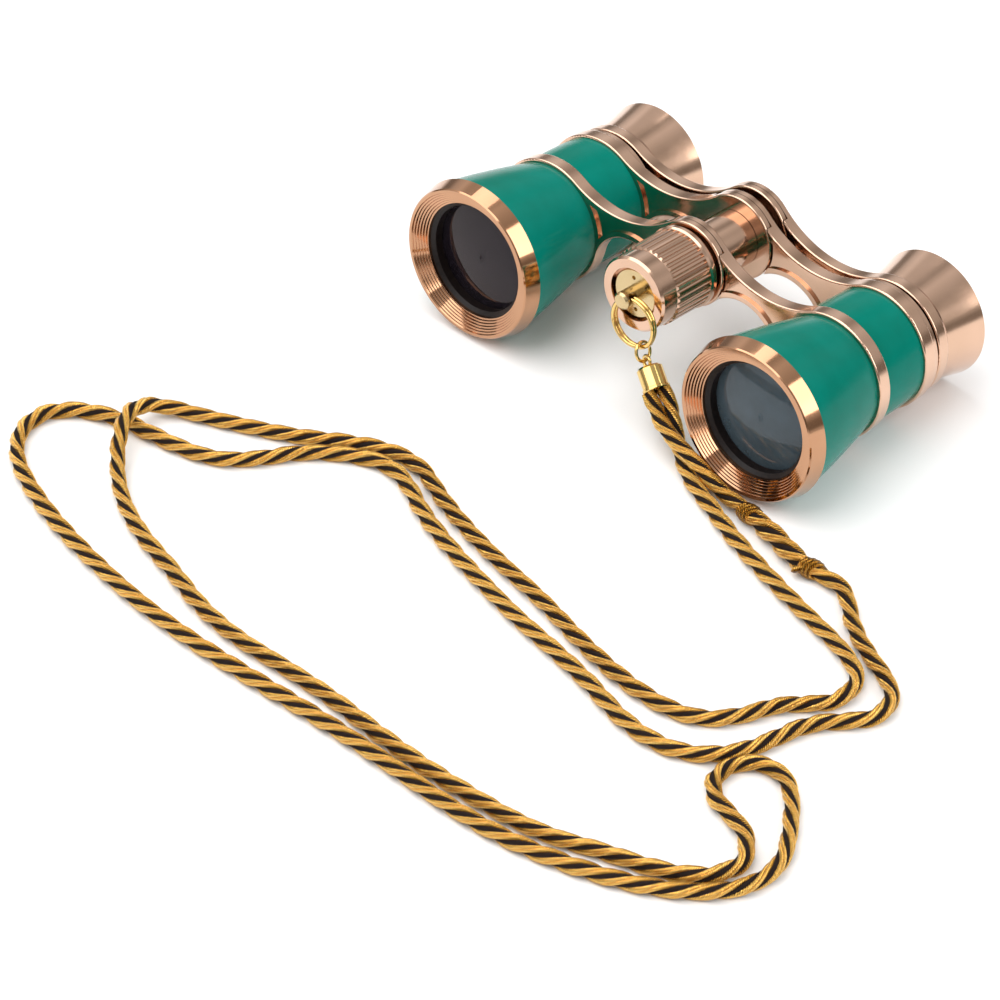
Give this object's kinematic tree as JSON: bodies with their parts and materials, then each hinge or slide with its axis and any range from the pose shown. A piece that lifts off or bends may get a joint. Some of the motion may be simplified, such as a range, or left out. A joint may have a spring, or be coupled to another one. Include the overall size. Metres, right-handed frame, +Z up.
{
  "type": "opera glasses",
  "caption": "Folding opera glasses with enamelled barrels, a central focusing knob, flared eye horns and a looped twisted neck cord.",
  "frame": {"origin": "middle of the bottom of the glasses without the cord, on the table that the rims rest on", "axes": "+X across the glasses towards the right half as seen from the front, -Y the way the objectives face, +Z up"},
  "size_m": [0.1855, 0.1607, 0.0335],
  "materials": {
    "frame_metal": "polished rose gold plate",
    "bright_brass": "polished yellow gold plate",
    "green_enamel": "gloss enamel",
    "black_metal": "matt black",
    "steel": "turned",
    "objective_glass": "coated and polished",
    "eye_glass": "polished",
    "cord_yarn": "twisted gold and black yarn"
  },
  "bodies": {
    "right_half": {"right_bezel": "frame_metal", "right_objective_lens": "objective_glass", "right_objective_retainer": "black_metal", "right_front_shell": "green_enamel", "right_baffle": "black_metal", "right_barrel_tube": "black_metal", "right_rear_shell": "green_enamel", "right_front_arm": "frame_metal", "right_rear_arm": "frame_metal", "hinge_tube": "frame_metal", "thrust_washer": "steel", "end_disc": "bright_brass", "split_ring": "bright_brass", "jump_ring": "bright_brass", "ferrule": "bright_brass", "neck_cord": "cord_yarn"},
    "left_half": {"left_bezel": "frame_metal", "left_objective_lens": "objective_glass", "left_objective_retainer": "black_metal", "left_front_shell": "green_enamel", "left_baffle": "black_metal", "left_barrel_tube": "black_metal", "left_rear_shell": "green_enamel", "left_front_arm": "frame_metal", "left_rear_arm": "frame_metal"},
    "knob": {"focus_knob": "frame_metal"},
    "right_eyepiece": {"right_eyepiece_arm": "frame_metal", "right_draw_tube": "black_metal", "right_eye_horn": "frame_metal", "right_eye_lens": "eye_glass", "right_eye_retainer": "black_metal", "focus_spindle": "steel", "drive_pin": "steel", "spindle_nut": "frame_metal"},
    "left_eyepiece": {"left_eyepiece_arm": "frame_metal", "left_draw_tube": "black_metal", "left_eye_horn": "frame_metal", "left_eye_lens": "eye_glass", "left_eye_retainer": "black_metal"}
  },
  "joints": [
    {"name": "fold", "type": "hinge", "parent": "right_half", "child": "left_half", "pos_m": [0, 0.00231, 0.02254], "axis": [0, 0.9977, -0.068], "range_deg": [-57.8, 23.6]},
    {"name": "focus_turn", "type": "hinge", "parent": "right_half", "child": "knob", "pos_m": [0, -0.01266, 0.02355], "axis": [0, 0.9977, -0.068], "range_deg": [-35, 310]},
    {"name": "right_focus", "type": "slide", "parent": "right_half", "child": "right_eyepiece", "axis": [0, 0.9977, -0.068], "range_m": [-0.00058, 0.00516]},
    {"name": "left_focus", "type": "slide", "parent": "left_half", "child": "left_eyepiece", "axis": [0, 0.9977, -0.068], "range_m": [-0.00058, 0.00516]}
  ],
  "couplings": [
    {"joint": "focus_turn", "follows": "right_focus", "rad_per_m": 1047.2},
    {"joint": "left_focus", "follows": "right_focus", "ratio": 1}
  ]
}
